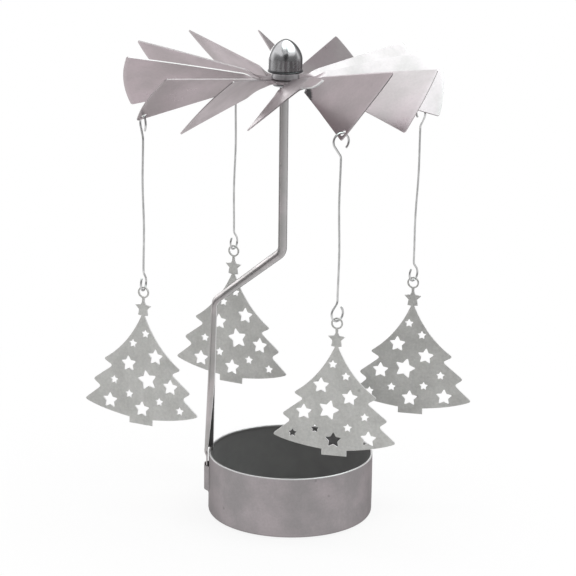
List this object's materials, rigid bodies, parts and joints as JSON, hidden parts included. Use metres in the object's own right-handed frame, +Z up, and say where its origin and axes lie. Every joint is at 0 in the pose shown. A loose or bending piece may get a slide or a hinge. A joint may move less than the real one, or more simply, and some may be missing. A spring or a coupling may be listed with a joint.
{
  "type": "candle carousel",
  "caption": "Sheet-metal tealight pan with a bent channel post and a needle pivot that carries a twisted-blade fan wheel, from which wire hooks hang pierced fir-tree plates.",
  "frame": {"origin": "centre of the pan's underside, on the table", "axes": "+Z up, -Y towards the viewer, with the post at the pan's -X edge"},
  "size_m": [0.1284, 0.1055, 0.1608],
  "materials": {
    "steel": "satin plated sheet, faintly mottled",
    "blade_steel": "satin plated sheet with bright cut edges",
    "plate_steel": "fine matt satin",
    "wire": "drawn wire, satin",
    "chrome": "polished"
  },
  "bodies": {
    "stand": {"candle_pan": "steel", "post": "steel", "pivot_needle": "chrome"},
    "wheel": {"fan_wheel": "blade_steel", "dome_cap": "chrome", "hub_bush": "chrome", "hub_washer": "steel"},
    "hanger_1": {"hook_1": "wire"},
    "hanger_2": {"hook_2": "wire"},
    "hanger_3": {"hook_3": "wire"},
    "hanger_4": {"hook_4": "wire"},
    "plate_1": {"tree_1": "plate_steel"},
    "plate_2": {"tree_2": "plate_steel"},
    "plate_3": {"tree_3": "plate_steel"},
    "plate_4": {"tree_4": "plate_steel"}
  },
  "joints": [
    {"name": "wheel_spin", "type": "hinge", "parent": "stand", "child": "wheel", "pos_m": [-0.003, 0, 0.1476], "axis": [0, 0, 1], "continuous": true},
    {"name": "hook_1_swing", "type": "hinge", "parent": "wheel", "child": "hanger_1", "pos_m": [-0.04772, -0.01751, 0.13894], "axis": [-0.3746, 0.9272, 0], "range_deg": [-2, 25]},
    {"name": "hook_2_swing", "type": "hinge", "parent": "wheel", "child": "hanger_2", "pos_m": [-0.02056, 0.04461, 0.13841], "axis": [0.8829, 0.4695, 0], "range_deg": [-2, 25]},
    {"name": "hook_3_swing", "type": "hinge", "parent": "wheel", "child": "hanger_3", "pos_m": [0.01505, -0.04479, 0.14012], "axis": [-0.866, -0.5, 0], "range_deg": [-2, 25]},
    {"name": "hook_4_swing", "type": "hinge", "parent": "wheel", "child": "hanger_4", "pos_m": [0.04132, 0.0169, 0.13642], "axis": [0.515, -0.8572, 0], "range_deg": [-2, 25]},
    {"name": "tree_1_swing", "type": "hinge", "parent": "hanger_1", "child": "plate_1", "pos_m": [-0.04802, -0.0169, 0.0812], "axis": [0.2924, 0.9563, 0], "range_deg": [-4, 20]},
    {"name": "tree_2_swing", "type": "hinge", "parent": "hanger_2", "child": "plate_2", "pos_m": [-0.02037, 0.04492, 0.07859], "axis": [0.454, 0.891, 0], "range_deg": [-4, 20]},
    {"name": "tree_3_swing", "type": "hinge", "parent": "hanger_3", "child": "plate_3", "pos_m": [0.01416, -0.04511, 0.08002], "axis": [-0.7431, -0.6691, 0], "range_deg": [-4, 20]},
    {"name": "tree_4_swing", "type": "hinge", "parent": "hanger_4", "child": "plate_4", "pos_m": [0.04062, 0.01634, 0.07605], "axis": [-0.5736, -0.8192, 0], "range_deg": [-4, 20]}
  ]
}
